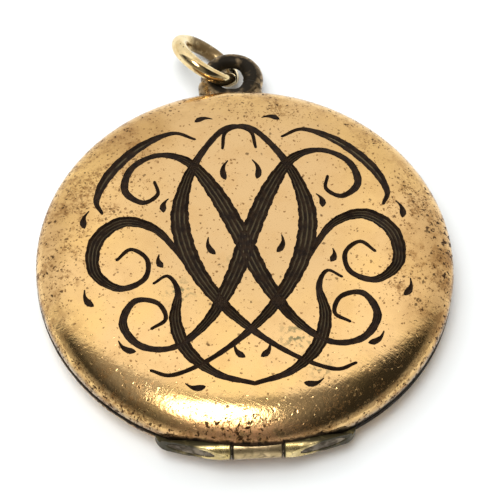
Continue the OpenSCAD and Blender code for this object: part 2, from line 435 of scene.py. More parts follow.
def place(obj, body, slot, node, *materials):
    """Turns a finished piece into metres, gives it its body and materials, and hides the CAD node it stands in
    for. slot is not used.
    """
    obj.data.transform(Matrix.Scale(MM, 4))
    for material in materials:
        obj.data.materials.append(material)
    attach(obj, body)
    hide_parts(node)


# ---- materials


class Value:
    """What a node puts out. Sums, differences and products of values add the nodes for them."""

    def __init__(self, nodes, socket):
        self.nodes, self.socket = nodes, socket

    def also(self, output):
        """Another output of the same node."""
        return Value(self.nodes, self.socket.node.outputs[output])

    def __add__(self, other):
        return self.nodes.calc("ADD", self, other)

    def __sub__(self, other):
        return self.nodes.calc("SUBTRACT", self, other)

    def __rsub__(self, other):
        return self.nodes.calc("SUBTRACT", other, self)

    def __mul__(self, other):
        return self.nodes.calc("MULTIPLY", self, other)

    __radd__, __rmul__ = __add__, __mul__


class Nodes:
    """A node tree, with short calls for the nodes used here."""

    def __init__(self, tree, output):
        self.tree = tree
        tree.nodes.clear()
        self.surface = tree.nodes.new("ShaderNode" + output).inputs["Surface"]

    def feed(self, value, socket):
        if isinstance(value, Value):
            self.tree.links.new(value.socket, socket)
        elif socket.type == "RGBA":
            socket.default_value = (*value, 1)
        else:
            socket.default_value = value

    def node(self, kind, inputs, output=0, **settings):
        """Adds a node, feeds its inputs, given by name or index, and returns one of its outputs."""
        node = self.tree.nodes.new("ShaderNode" + kind)
        for key, value in settings.items():
            setattr(node, key, value)
        for key, value in inputs.items():
            self.feed(value, node.inputs[key])
        return Value(self, node.outputs[output])

    def calc(self, operation, a, b=0.0):
        return self.node("Math", {0: a, 1: b}, operation=operation)

    def most(self, *values):
        total = values[0]
        for value in values[1:]:
            total = self.calc("MAXIMUM", total, value)
        return total

    def ramp(self, value, low, high, to_low=0.0, to_high=1.0):
        ends = dict(enumerate((value, low, high, to_low, to_high)))
        return self.node("MapRange", ends, interpolation_type="SMOOTHSTEP")


class Shader(Nodes):
    """A material's node tree, whose coordinates are the row frame's in millimetres."""

    def __init__(self, name):
        self.material = bpy.data.materials.new(name)
        self.material.use_nodes = True
        super().__init__(self.material.node_tree, "OutputMaterial")
        metres = self.node("TexCoord", {}, "Object")
        self.place = self.node("VectorMath", {0: metres, "Scale": 1 / MM}, operation="SCALE")

    def stretched(self, turn, scale):
        """Coordinates turned about Z by turn degrees and then scaled per axis."""
        turned = self.node("Mapping", {0: self.place, "Rotation": (0, 0, math.radians(turn))})
        return self.node("Mapping", {0: turned, "Scale": scale})

    def noise(self, scale, detail=2.0, vector=None, distortion=0.0, roughness=0.5):
        inputs = {"Scale": scale, "Detail": detail, "Roughness": roughness, "Distortion": distortion}
        inputs["Vector"] = self.place if vector is None else vector
        return self.node("TexNoise", inputs)

    def warped(self, amount, scale):
        """Coordinates pushed about by noise, which roughens the outline of spots."""
        push = self.noise(scale).also("Color")
        inputs = {0: push, 1: (amount,) * 3, 2: self.place}
        return self.node("VectorMath", inputs, operation="MULTIPLY_ADD")

    def spots(self, scale, chance, size, vector):
        """Round spots in random cells: a cell has one with the given chance, up to size in radius."""
        away = self.node("TexVoronoi", {"Vector": vector, "Scale": scale}, "Distance", feature="F1")
        drawn = self.node("SeparateColor", {0: away.also("Color")})
        radius = self.ramp(drawn.also(1), 0.0, 1.0, size * 0.35, size)
        disc = self.ramp(away, radius * 0.55, radius, 1.0, 0.0)
        return disc * self.calc("LESS_THAN", drawn, chance)

    def distance(self, point, axes=(1, 1, 0)):
        """Distance from a point of the row frame, along the given axes only."""
        flat = self.node("VectorMath", {0: self.place, 1: axes}, operation="MULTIPLY")
        there = [p * a for p, a in zip(point, axes)]
        return self.node("VectorMath", {0: flat, 1: there}, "Value", operation="DISTANCE")

    def near(self, x, y, reach):
        """1 at a point of the row's XY plane, falling to 0 at reach millimetres from it."""
        return self.ramp(self.distance((x, y, 0)), 0.0, reach, 1.0, 0.0)

    def mix(self, amount, a, b):
        return self.node("Mix", {0: amount, 6: a, 7: b}, 2, data_type="RGBA", clamp_factor=True)

    def bump(self, height, depth_mm, strength=1.0, below=None):
        inputs = {"Strength": strength, "Distance": depth_mm * MM, "Height": height}
        if below is not None:
            inputs["Normal"] = below
        return self.node("Bump", inputs)

    def shown(self, shader):
        self.feed(shader, self.surface)
        return self.material

    def principled(self, **inputs):
        named = {key.replace("_", " "): value for key, value in inputs.items()}
        return self.shown(self.node("BsdfPrincipled", named))


# Colours of the gold plate, of what wear and dirt make of it, and of the painted shade in its seam
ROSE_GOLD, YELLOW_GOLD = (0.91, 0.590, 0.225), (0.87, 0.570, 0.255)
FADED_GOLD = (0.71, 0.475, 0.232)
CLOUDED_GOLD = (0.66, 0.40, 0.16)
BROWN_FILM = (0.49, 0.275, 0.100)
BARE_BRASS, COPPER = (0.34, 0.255, 0.165), (0.72, 0.36, 0.175)
STAIN, FRECKLE, SPECK = (0.35, 0.172, 0.052), (0.275, 0.140, 0.050), (0.070, 0.034, 0.013)
VERDIGRIS = (0.165, 0.160, 0.078)
# Near black: dirt and painted shade in the seam and round the hinge
GRIME_AND_SHADE = (0.004, 0.003, 0.002)
# Where the gold is pitted through, as (x, y, reach, share of cells)
WEAR_PATCHES = [
    (-11.5, 5.5, 6.0, 0.85), (-13.8, -1.0, 4.6, 0.50), (13.2, -2.5, 5.0, 0.85),
    (13.0, 4.0, 3.6, 0.75), (2.5, 13.8, 5.0, 0.50), (-2.0, -17.2, 4.0, 1.0),
    (7.5, -14.8, 4.4, 0.55), (-8.5, 10.5, 4.0, 0.40), (9.5, 9.5, 3.5, 0.25), (-10.5, -12.0, 4.0, 0.6),
]
BACK_WEAR_PATCHES = [(6, 5, 7, 0.3), (-9, -6, 6, 0.35)]
# Where a brown film dulls the gold, as (x, y, reach, share)
DULL_PATCHES = [
    (15.2, -1.0, 6.5, 0.9), (14.2, -6.0, 4.5, 0.9), (-14.8, 4.5, 4.5, 0.5), (-8.5, 11.0, 5.0, 0.95),
    (0.0, -17.5, 4.0, 0.5), (9.0, 8.0, 6.0, 0.2),
]
# Where green corrosion shows, as (x, y, reach)
GREEN_PATCHES = [(-5.2, -3.8, 1.8), (-0.6, -1.5, 1.5), (3.4, -8.0, 2.2), (4.9, -10.6, 1.3)]
# Sides of the case, as x, y and reach: where the edge is worn through to copper, where it is most
# pitted otherwise, and where the seam's dirt and painted shade reach furthest
COPPER_SIDE, PITTED_SIDE, DIRTY_SHADED_SIDE = (-1.5, -16.5, 8.0), (15.9, 0.5, 7.5), (11.0, -11.0, 15.0)
# The middle of the face's pale area, and of the ring's tarnished side
PALE_SPOT, RING_DARK_SPOT = (0, 3.5, 0), (-0.9, 21.9, 0)
# How far from the seam its dirt and painted shade reach, in millimetres
FRONT_SEAM_DIRT_AND_SHADE, BACK_SEAM_DIRT_AND_SHADE = 0.19, 0.34


def rolled_gold(name, seam_dirt_and_shade, patches, dulled=(), greens=()):
    """Worn rose gold plate: uneven tone, brown film and pits through to the brass, fine scratches, and near-black
    dirt with painted shade along the seam and round the hinge.
    """
    s = Shader(name)
    radius = s.distance((0, 0, 0))
    seam = s.distance((0, 0, SEAM_Z), (0, 0, 1))
    shoulder = s.ramp(radius, 10.0, 13.0)
    rim = s.ramp(radius, 12.8, 15.4)
    edge = s.ramp(radius, 15.3, 15.9)
    girdle = s.ramp(seam, 0.5, 1.1, 1.0, 0.0)
    copper_side = s.near(*COPPER_SIDE)
    gold = s.mix(s.ramp(s.noise(0.16, 3), 0.38, 0.62), ROSE_GOLD, YELLOW_GOLD)
    faded = s.ramp(s.distance(PALE_SPOT), 5.0, 13.0, 0.9, 0.0)
    gold = s.mix(faded, gold, FADED_GOLD)
    cloud = s.ramp(s.noise(0.5, 5, roughness=0.6), 0.42, 0.70)
    gold = s.mix(cloud * 0.36, gold, CLOUDED_GOLD)

    # Pits and freckles, thicker in the worn patches and along the rim
    shade = 0.13
    for x, y, reach, share in patches:
        shade = s.near(x, y, reach) * share + shade
    patchy = s.ramp(s.noise(0.75, 4), 0.38, 0.62)
    wear = shade * (patchy * 0.9 + 0.3) + (rim * 0.2 + edge * 0.5 + girdle * 0.4) * patchy
    ragged = s.warped(0.45, 2.2)
    large = s.spots(1.5, (wear - 0.15) * 0.8, 0.28, ragged)
    middling = s.spots(2.6, wear * 1.2, 0.40, ragged)
    small = s.spots(4.2, wear * 2.0, 0.50, ragged)
    tiny = s.ramp(s.noise(4.2, 4, distortion=0.7, roughness=0.6) + wear * 0.13, 0.655, 0.70)
    corroded = s.most(girdle * 0.85, edge * 0.5, rim * s.most(copper_side, s.near(*PITTED_SIDE)))
    corroded = corroded * s.ramp(s.noise(0.45, 2), 0.34, 0.54, 0.35, 1.0)
    blotches = s.noise(2.6, 5, distortion=0.5, roughness=0.6) + corroded * 0.13
    eaten = s.ramp(blotches, 0.645, 0.685) * s.ramp(corroded, 0.05, 0.2)
    pits = s.most(large, middling * 0.92, eaten)
    freckles = s.most(small, tiny * 0.8)

    # Film and stains round the pits, worn edges, green corrosion
    stain = s.ramp(wear, 0.2, 0.8) * s.ramp(s.noise(2.2, 5, roughness=0.65), 0.46, 0.62)
    film = rim * s.ramp(s.noise(0.9, 5, distortion=0.6, roughness=0.6), 0.44, 0.62)
    for x, y, reach, share in dulled:
        film = s.most(film, s.near(x, y, reach) * (patchy * share + share))
    gold = s.mix(film * 0.6, gold, BROWN_FILM)
    rubbed = girdle * s.ramp(s.noise(1.5, 4), 0.3, 0.6, 0.55, 0.95)
    gold = s.mix(rubbed, gold, BARE_BRASS)
    copper = copper_side * s.ramp(radius, 14.3, 15.2) * s.ramp(s.noise(1.8, 4), 0.30, 0.50, 0.3, 1.0)
    gold = s.mix(copper * 0.9, gold, COPPER)
    gold = s.mix(stain * 0.7, gold, STAIN)
    spoiled = pits
    metal = 1.0
    if greens:
        green = s.most(*(s.near(*place) for place in greens))
        green = green * s.ramp(s.noise(2.4, 4), 0.48, 0.64) * 0.9
        gold = s.mix(green, gold, VERDIGRIS)
        spoiled = s.most(pits, green)
        metal = 1.0 - green * 0.5
    gold = s.mix(freckles * 0.85, gold, FRECKLE)
    gold = s.mix(pits * (rim * 0.3 + 0.66), gold, SPECK)

    # Dirt and painted shade along the seam, reaching further on the lower right, and round the hinge barrel
    uneven = s.noise(1.4, 4) * 0.5 + 0.75
    reach = s.near(*DIRTY_SHADED_SIDE) * (seam_dirt_and_shade * 1.2) + seam_dirt_and_shade
    packed_dirt_and_shade = s.ramp(s.calc("DIVIDE", seam * uneven, reach), 0.7, 1.4, 1.0, 0.0)
    hinge = s.distance((0, HINGE_Y, HINGE_Z), (0, 1, 1)) * uneven
    packed_dirt_and_shade = s.most(packed_dirt_and_shade, s.ramp(hinge, BARREL_R + 0.18, BARREL_R + 0.48, 1.0, 0.0))
    # The near-black colour and the loss of metal here are partly painted shade
    gold = s.mix(packed_dirt_and_shade * 0.96, gold, GRIME_AND_SHADE)
    metal = s.calc("MINIMUM", metal, 1.0 - packed_dirt_and_shade)

    dull = stain * 0.12 + cloud * 0.03 + film * 0.05 + copper * 0.22
    roughness = dull + s.most(spoiled, freckles * 0.4, packed_dirt_and_shade) * 0.45 + 0.115 + rim * 0.02
    lines = s.ramp(s.noise(1.0, 3, s.stretched(28, (0.12, 9, 1))), 0.56, 0.64)
    lines = s.most(lines, s.ramp(s.noise(1.0, 3, s.stretched(-47, (0.10, 8, 1))), 0.58, 0.66))
    grain = s.noise(3.4, 4) * (rim * 0.8 + shoulder * 0.45 + 0.05)
    dents = s.spots(2.3, shoulder * 0.45, 0.42, ragged)
    skin = s.bump(s.noise(0.30, 2), 0.06, 0.45)
    skin = s.bump(s.noise(1.3, 2), 0.008, 0.4, skin)
    skin = s.bump(grain, 0.014, 0.8, skin)
    skin = s.bump(1.0 - dents, 0.010, 0.7, skin)
    skin = s.bump(1.0 - lines, 0.003, 0.25, skin)
    skin = s.bump(1.0 - spoiled, 0.008, 0.5, skin)
    return s.principled(
        Base_Color=gold, Metallic=metal, Roughness=roughness, Specular_IOR_Level=0.05, Normal=skin
    )


def engraved_dark(name):
    """Oxide and dirt in the cuts, with the tool's ridges rubbed back to olive metal."""
    s = Shader(name)
    ridge = s.node("Attribute", {}, "Fac", attribute_name="ridge")
    rubbed = s.ramp(ridge, 0.55, 0.95) * s.ramp(s.noise(0.9, 3), 0.35, 0.6)
    dirt = s.mix(s.ramp(s.noise(2.2, 4), 0.35, 0.65), (0.026, 0.013, 0.005), (0.012, 0.006, 0.003))
    return s.principled(
        Base_Color=s.mix(rubbed, dirt, (0.115, 0.090, 0.048)), Metallic=rubbed * 0.6 + 0.2,
        Roughness=0.6 - rubbed * 0.2, Specular_IOR_Level=0.2, Normal=s.bump(s.noise(5.0, 3), 0.02, 0.7),
    )


def worn_metal(name, bright, dark, film, roughness, amount, grime_and_shade=None, dents=0.01, grain=1):
    """Plain metal with two tones, a patchy film of tarnish, dents and specks.

    grime_and_shade is a function that takes the shader and returns where dirt and painted shade cover the metal.
    dents is the depth of the dents, and grain how much finer the lines of the drawing are along X."""
    s = Shader(name)
    colour = s.mix(s.ramp(s.noise(0.9, 3), 0.38, 0.62), bright, dark)
    patch = s.ramp(s.noise(1.7, 5, distortion=0.4), 0.60 - amount * 0.25, 0.74 - amount * 0.12)
    colour = s.mix(patch * amount, colour, film)
    specks = s.spots(4.2, 0.10 + amount * 0.25, 0.34, s.warped(0.25, 3.0))
    colour = s.mix(specks * 0.85, colour, SPECK)
    spoiled = s.most(patch, specks) * (0.35 * amount)
    if grime_and_shade is not None:
        # dirt here is real dirt and tarnish, and painted shade for the hinge's meeting with the case and the
        # loop's inner side
        dirt = grime_and_shade(s) * s.ramp(s.noise(1.2, 3), 0.25, 0.45, 0.75, 1.0)
        colour = s.mix(dirt, colour, film)
        patch = s.most(patch, dirt)
        spoiled = s.most(spoiled, dirt * 0.6)
    lines = s.noise(2.0, 3, s.stretched(0, (grain, 1, 1)))
    rough = patch * 0.22 + specks * 0.3 + roughness + s.ramp(lines, 0.4, 0.7) * 0.06
    skin = s.bump(s.noise(1.1, 2), dents * 2, 0.6)
    skin = s.bump(lines, dents * 0.5, 0.5, skin)
    skin = s.bump(1.0 - specks, dents * 2, 0.8, skin)
    return s.principled(
        Base_Color=colour, Metallic=1.0 - spoiled, Roughness=rough, Specular_IOR_Level=0.12, Normal=skin
    )


def hinge_grime_and_shade(s):
    """Dirt on the filed ends of the hinge and in its joints, and painted shade where the barrel meets the case."""
    along = s.distance((0, 0, 0), (1, 0, 0))
    ends = s.ramp(along, FACET_X - 1.2, FACET_X - 0.2)
    from_joint = s.calc("ABSOLUTE", along - (CENTRE_X + KNUCKLE_GAP / 2))
    joint = s.ramp(from_joint, 0.1, 0.22, 1, 0)
    # Painted shade on the case side of the barrel, under the cover's edge
    meeting_shade = s.ramp(s.distance((0, HINGE_Y - 1, 0), (0, 1, 0)), 0.75, 1.0)
    return s.most(ends, joint, meeting_shade)


def loop_inner_shade(s):
    """Painted shade: black on the inner side of the bail loop."""
    away = s.distance(BAIL_CENTRE) + s.noise(1.6, 4) * 0.3
    return s.ramp(away, BAIL_R + 0.1, BAIL_R + 0.4, 1.0, 0.0)


def ring_tarnish(s):
    """Brown tarnish on the far side of the jump ring."""
    reach = s.ramp(s.distance(RING_DARK_SPOT), 1.9, 2.6, 1.0, 0.0)
    return reach * s.ramp(s.noise(1.8, 3), 0.3, 0.5, 0.6, 1.0)


# Plain metals, with what worn_metal takes after the name
METALS = {
    "bright_gold": ((0.90, 0.71, 0.38), (0.78, 0.56, 0.26), (0.19, 0.125, 0.055), 0.10, 0.25, ring_tarnish),
    "bezel_gold": ((0.86, 0.64, 0.31), (0.78, 0.53, 0.22), (0.40, 0.25, 0.10), 0.20, 0.35),
    "hinge_brass": (
        (0.80, 0.62, 0.29), (0.56, 0.42, 0.17), (0.045, 0.036, 0.016), 0.22, 0.55, hinge_grime_and_shade, 0.012, 6,
    ),
    "hinge_brown_brass": (
        (0.62, 0.46, 0.25), (0.42, 0.31, 0.16), (0.022, 0.016, 0.008), 0.28, 0.55, hinge_grime_and_shade, 0.012, 6,
    ),
    "dark_brass": (
        (0.50, 0.35, 0.19), (0.24, 0.17, 0.09), (0.018, 0.014, 0.009), 0.25, 0.8, loop_inner_shade, 0.018,
    ),
    "lining_brass": ((0.72, 0.52, 0.25), (0.60, 0.42, 0.18), (0.20, 0.12, 0.045), 0.30, 0.55),
    "pin_steel": ((0.24, 0.19, 0.13), (0.13, 0.10, 0.07), (0.05, 0.035, 0.02), 0.42, 0.8),
}


def aged_card(name):
    """Blank picture card: cream paper, foxed and a little brown towards its edge."""
    s = Shader(name)
    fibre = s.noise(6.0, 5)
    colour = s.mix(fibre, (0.80, 0.68, 0.47), (0.70, 0.57, 0.37))
    fox = s.spots(0.8, 0.35, 0.30, s.warped(0.6, 1.2))
    colour = s.mix(fox * 0.35, colour, (0.42, 0.25, 0.11))
    edge = s.ramp(s.distance((0, 0, 0)) + s.noise(0.6, 3) * 3, 10.0, 14.5)
    colour = s.mix(edge * 0.55, colour, (0.48, 0.32, 0.16))
    return s.principled(Base_Color=colour, Roughness=0.85, Normal=s.bump(fibre, 0.02, 0.6))


def clear_sheet(name):
    """Thin clear sheet, faintly yellow and scratched: it lets light straight through under its shine."""
    s = Shader(name)
    tint = s.mix(s.noise(0.25, 3), (0.96, 0.92, 0.80), (0.90, 0.84, 0.68))
    through = s.node("BsdfTransparent", {"Color": tint})
    haze = s.ramp(s.noise(1.0, 4, s.stretched(20, (0.3, 7, 1))), 0.58, 0.70)
    shine = s.node(
        "BsdfGlossy", {"Roughness": haze * 0.2 + 0.04, "Normal": s.bump(s.noise(0.12, 2), 0.08, 0.5)}
    )
    gloss = s.calc("POWER", s.node("LayerWeight", {}, "Facing"), 5.0) * 0.9 + 0.035
    return s.shown(s.node("MixShader", {0: gloss, 1: through, 2: shine}))


def pale_floor(name):
    s = Shader(name)
    colour = s.mix(s.noise(0.35, 5), (0.90, 0.925, 0.935), (0.86, 0.885, 0.895))
    return s.principled(Base_Color=colour, Roughness=0.7, Normal=s.bump(s.noise(1.2, 4), 0.02, 0.3))


# ---- engraving


def stroke_curve(points):
    """Evenly spaced (x, y, width) along a smooth curve through the given points.

    The width wavers a little, as with a graver held in the hand."""
    p = np.array(points, float)
    ends = np.vstack([2 * p[0] - p[1], p, 2 * p[-1] - p[-2]])
    fine = []
    for a, b, c, d in zip(ends, ends[1:], ends[2:], ends[3:]):
        for t in np.arange(0, 1, SPLINE_STEP):
            fine.append(
                0.5 * (2 * b + (c - a) * t + (2 * a - 5 * b + 4 * c - d) * t**2
                       + (3 * b - a - 3 * c + d) * t**3)
            )
    fine = np.array(fine + [p[-1]])
    along = np.r_[0, np.cumsum(np.hypot(*np.diff(fine[:, :2], axis=0).T))]
    places = np.linspace(0, along[-1], max(6, int(along[-1] / STROKE_STEP)))
    curve = np.column_stack([np.interp(places, along, fine[:, k]) for k in range(3)])
    wavering = 0.045 * np.sin(places * 5.1 + p[0, 0]) + 0.035 * np.sin(places * 11.7 + p[0, 1])
    curve[:, 2] *= 1 + wavering
    return curve


def comma_points(x, y, heading, length):
    """Control points of a comma: a round head that tapers along a bent tail."""
    a = math.radians(heading)
    points = []
    for t, width in ((0, 0.55), (0.18, 1.0), (0.42, 0.85), (0.7, 0.45), (1, 0.2)):
        bend = 0.16 * length * (4 * (t - 0.5) ** 2 - 1)
        along = length * (t - 0.5)
        points.append(
            (x + along * math.cos(a) - bend * math.sin(a), y + along * math.sin(a) + bend * math.cos(a),
             COMMA_W * width)
        )
    return points


def all_strokes():
    """Every cut of the ornament as a curve, left and right."""
    right = [stroke_curve(points) for points in FLOURISH.values()]
    right += [stroke_curve(comma_points(*comma)) for comma in COMMAS]
    left = [curve * (-1, 1, 1) for curve in right]
    return right + left


def cuts_across(curve):
    """How many passes of the tool a stroke is made of."""
    return max(2, 2 * round(curve[:, 2].max() / CUT_PITCH / 2))


def cut_profile(u, width, cuts):
    """Depth and ridge height share across a stroke, for u from -1 to 1."""
    across = (u + 1) / 2 * cuts
    valley = 1 - np.abs(2 * (across - np.floor(across)) - 1)
    edge = (across < 0.5) | (across > cuts - 0.5)
    floor = np.minimum(MAX_CUT_DEPTH, 0.05 + 0.5 * width / cuts)
    many = np.where(edge, 0, RIDGE_DEPTH) * (1 - valley) + floor * valley
    single = np.minimum(MAX_CUT_DEPTH, 0.45 * width) * (1 - np.abs(u))
    share = np.clip((width - SINGLE_W) / (MULTI_W - SINGLE_W), 0, 1)
    share = share * share * (3 - 2 * share)
    return single + (many - single) * share, np.where(edge, 0, (1 - valley) * share)


def cut_depth(points, strokes):
    """Depth of the engraving and ridge share at each of many points."""
    depth, ridge = np.zeros(len(points)), np.zeros(len(points))
    for curve in strokes:
        reach = curve[:, 2].max()
        low, high = curve[:, :2].min(0) - reach, curve[:, :2].max(0) + reach
        picked = np.flatnonzero(((points > low) & (points < high)).all(1))
        if not len(picked):
            continue
        q = points[picked]
        start, step = curve[:-1, :2], np.diff(curve[:, :2], axis=0)
        to_point = q[:, None] - start[None]
        t = np.clip((to_point * step).sum(2) / (step**2).sum(1), 0, 1)
        gap = to_point - t[..., None] * step
        distance = np.hypot(gap[..., 0], gap[..., 1])
        nearest = distance.argmin(1)
        row = np.arange(len(q))
        t, gap, distance = t[row, nearest], gap[row, nearest], distance[row, nearest]
        width = curve[nearest, 2] * (1 - t) + curve[nearest + 1, 2] * t
        side = np.sign(step[nearest, 0] * gap[:, 1] - step[nearest, 1] * gap[:, 0])
        u = side * distance / (width / 2)
        inside = np.abs(u) < 1
        d, g = cut_profile(u[inside], width[inside], cuts_across(curve))
        index = picked[inside]
        deeper = d > depth[index]
        depth[index[deeper]] = d[deeper]
        ridge[index[deeper]] = g[deeper]
    return depth, ridge


def stroke_lines(curve):
    """Points and edges along the borders, valleys and ridges of one stroke."""
    tangent = np.gradient(curve[:, :2], axis=0)
    tangent /= np.hypot(*tangent.T)[:, None]
    normal = np.column_stack([-tangent[:, 1], tangent[:, 0]])
    half = curve[:, 2] / 2
    lines = 2 * cuts_across(curve) + 1
    points, edges = [], []
    for k in range(lines):
        u = 2 * k / (lines - 1) - 1
        first = len(points)
        points += list(curve[:, :2] + normal * (half * u)[:, None])
        edges += [(i, i + 1) for i in range(first, len(points) - 1)]
    count = len(curve)
    for end, way in ((0, -1), (count - 1, 1)):
        points.append(curve[end, :2] + way * tangent[end] * half[end])
        tip = len(points) - 1
        edges += [(tip, end), (tip, (lines - 1) * count + end)]
    return points, edges


def engraved_disc():
    """Vertices, triangles, ridge shares and cut flags of the face inside DISC_R, cut as engraved."""
    strokes = all_strokes()
    ring = 2 * np.pi * np.arange(LATHE_SEGMENTS) / LATHE_SEGMENTS
    points = list(np.column_stack([np.cos(ring), np.sin(ring)]) * DISC_R)
    edges = [(i, (i + 1) % LATHE_SEGMENTS) for i in range(LATHE_SEGMENTS)]
    for curve in strokes:
        found, joined = stroke_lines(curve)
        edges += [(a + len(points), b + len(points)) for a, b in joined]
        points += found
    rows = np.arange(-DISC_R, DISC_R, FILL_STEP * math.sqrt(3) / 2)
    fill = [
        (x + (FILL_STEP / 2 if j % 2 else 0), y)
        for j, y in enumerate(rows)
        for x in np.arange(-DISC_R, DISC_R, FILL_STEP)
    ]
    fill = np.array([p for p in fill if math.hypot(*p) < DISC_R - FILL_FROM_RIM])
    near = search_tree(points)
    clear = cut_depth(fill, strokes)[0] == 0
    points += [p for p in fill[clear] if near.find((*p, 0))[2] > FILL_FROM_CUT]
    made = delaunay_2d_cdt([Vector(p) for p in points], edges, [], 0, MERGE_DISTANCE)
    flat = np.array([tuple(v) for v in made[0]])
    triangles = made[2]
    depth, ridge = cut_depth(flat, strokes)
    z = FRONT_SEAM + dome_depth(np.hypot(*flat.T)) - depth
    middles = flat[np.array(triangles)].mean(1)
    cut = cut_depth(middles, strokes)[0] > 0
    return np.column_stack([flat, z]), triangles, ridge, cut


# ---- covers


def cover_outline(flat_r, power, start_r, fine=1):
    """Outline of a pressed cover as (radius, depth), from start_r on its outside to the axis inside."""
    outer = dome_outline(CASE_R, HALF_T - WALL_H, flat_r, power, start_r, OUTER_STEPS * fine)
    inner = dome_outline(INNER_R, HALF_T - WALL_H - SHEET_T, flat_r, power, 0, INNER_STEPS * fine)
    edge = fillet(outer[-1], (CASE_R, 0), (INNER_R, 0), SEAM_FILLET)
    edge += fillet((CASE_R, 0), (INNER_R, 0), inner[-1], SEAM_FILLET)
    return outer + edge + inner[::-1]


def barrel_channel(centre_r, outer_r):
    """The room cut in a half for the hinge barrel, wider round the knuckles that turn in it."""
    x = CENTRE_X + CHANNEL_CLEARANCE
    outline = [
        (-CHANNEL_X, 0), (-CHANNEL_X, outer_r), (-x, outer_r), (-x, centre_r), (x, centre_r),
        (x, outer_r), (CHANNEL_X, outer_r), (CHANNEL_X, 0),
    ]
    return turned_bar("channel", outline, CHANNEL_SEGMENTS)


def pressed_cover(name, half, flat_r, power, channel, start_r=0.0):
    """A cover open from start_r inwards, with the hinge's channel, and its finer outline."""
    outline = on_seam(cover_outline(flat_r, power, start_r), half)
    obj = solid(name, *revolve(outline, False, cap_start=start_r > 0))
    combine(obj, channel, "DIFFERENCE")
    return obj, on_seam(cover_outline(flat_r, power, 0, NORMAL_DETAIL), half)


def front_cover(gold, dark):
    """The pressed front cover, with the engraved disc in place of the middle of its face."""
    channel = barrel_channel(BARREL_R, WIDE_CHANNEL_R)
    name = "front_cover_engraved"
    obj, fine = pressed_cover(name, FRONT, FRONT_FLAT_R, FRONT_POWER, channel, DISC_R)
    vertices, triangles, ridge, cut = engraved_disc()
    shape = bmesh.new()
    shape.from_mesh(obj.data)
    cap = max(shape.faces, key=lambda face: len(face.verts))
    bmesh.ops.delete(shape, geom=[cap], context="FACES_ONLY")
    layer = shape.verts.layers.float.new("ridge")
    made = []
    for v, share in zip(vertices, ridge):
        made.append(shape.verts.new(v))
        made[-1][layer] = share
    for corners, is_cut in zip(triangles, cut):
        face = shape.faces.new([made[i] for i in corners])
        face.material_index = int(is_cut)
        face.smooth = True
    bmesh.ops.remove_doubles(shape, verts=shape.verts, dist=WELD_DISTANCE)
    bmesh.ops.recalc_face_normals(shape, faces=shape.faces)
    shape.to_mesh(obj.data)
    shape.free()
    smooth_normals(obj, fine, False, WIDE_CHANNEL_R, flat_slot=1)
    place(obj, "front_half", "rolled_gold", "front_cover", gold, dark)


def back_cover(gold):
    channel = barrel_channel(WIDE_CHANNEL_R, BARREL_R)
    obj, fine = pressed_cover("back_cover_pressed", BACK, BACK_FLAT_R, BACK_POWER, channel)
    smooth_normals(obj, fine, False, WIDE_CHANNEL_R)
    place(obj, "back_half", "rolled_gold", "back_cover", gold)


# ---- inside


def turned_piece(name, outline, half, slot, node, material, notch=False):
    """A ring turned from an outline of (radius, depth), with its corners rounded."""
    outline = on_seam(rounded(outline, RING_CORNER), half)
    obj = solid(name, *revolve(outline, True))
    if notch:
        far_corner = (CASE_R, -NOTCH_Y, FRONT_HIGH[2] + 1)
        combine(obj, slab((-CASE_R, -2 * CASE_R, BACK_LOW[2] - 1), far_corner), "DIFFERENCE")
    smooth_normals(obj, outline, True)
    place(obj, half.body, slot, node, material)


def disc_piece(name, radius, near, far, half, slot, node, material):
    """A flat disc with rounded edges between two depths."""
    corner = min(DISC_CORNER, (far - near) / 3)
    flat_r = radius - 3 * corner
    outline = [(0, near), (flat_r, near)]
    outline += fillet((0, near), (radius, near), (radius, far), corner)
    outline += fillet((radius, near), (radius, far), (0, far), corner)
    outline += [(flat_r, far), (0, far)]
    outline = on_seam(outline, half)
    obj = solid(name, *revolve(outline, False))
    smooth_normals(obj, outline, False)
    place(obj, half.body, slot, node, material)


def bezel_outline(outer_r, near):
    """The section of a picture bezel: a flat band, a cove and a fine bead next to the picture."""
    return [
        (PICTURE_R, near + BEZEL_T), (PICTURE_R, near + BEZEL_T * 0.55),
        (PICTURE_R + 0.1, near + BEZEL_T * 0.4), (PICTURE_R + 0.22, near + BEZEL_BEVEL),
        (PICTURE_R + 0.34, near), (outer_r - BEZEL_BEVEL, near), (outer_r, near + BEZEL_BEVEL),
        (outer_r, near + BEZEL_T),
    ]


def picture_stack(side, half, outer_r, ledge, gold, paper, sheet):
    """The card, clear sheet and bezel of one half, in front of the lining disc on its ledge."""
    card_back = ledge - LINING_T
    card_face = card_back - CARD_T
    near = card_face - WINDOW_T
    disc_piece(
        side + "_card", outer_r, card_face, card_back, half, "picture_card", side + "_picture_card", paper
    )
    disc_piece(
        side + "_sheet", outer_r, near, card_face - AIR_GAP, half, "clear_sheet", side + "_window", sheet
    )
    outline = bezel_outline(outer_r, near - BEZEL_T)
    turned_piece(side + "_bezel_ring", outline, half, "bright_gold", side + "_bezel", gold)


def back_inside(brass, gold, paper, sheet):
    rim = [
        (INNER_R, 0), (INNER_R, WALL_H), (LIP_R + SKIRT_T, WALL_H),
        (LIP_R + SKIRT_T, BACK_LEDGE + LEDGE_T), (LEDGE_R, BACK_LEDGE + LEDGE_T),
        (LEDGE_R, BACK_LEDGE), (LIP_R, BACK_LEDGE), (LIP_R, 0),
    ]
    turned_piece("back_rim_ring", rim, BACK, "lining_brass", "back_rim", brass, notch=True)
    lip = [
        (LIP_R - LIP_T, BACK_LEDGE), (LIP_R - LIP_T, -LIP_H), (LIP_R - LIP_CHAMFER, -LIP_H),
        (LIP_R, LIP_CHAMFER - LIP_H), (LIP_R, BACK_LEDGE),
    ]
    turned_piece("snap_lip_ring", lip, BACK, "lining_brass", "snap_lip", brass)
    picture_stack("back", BACK, LIP_R - LIP_T - STACK_PLAY, BACK_LEDGE, gold, paper, sheet)


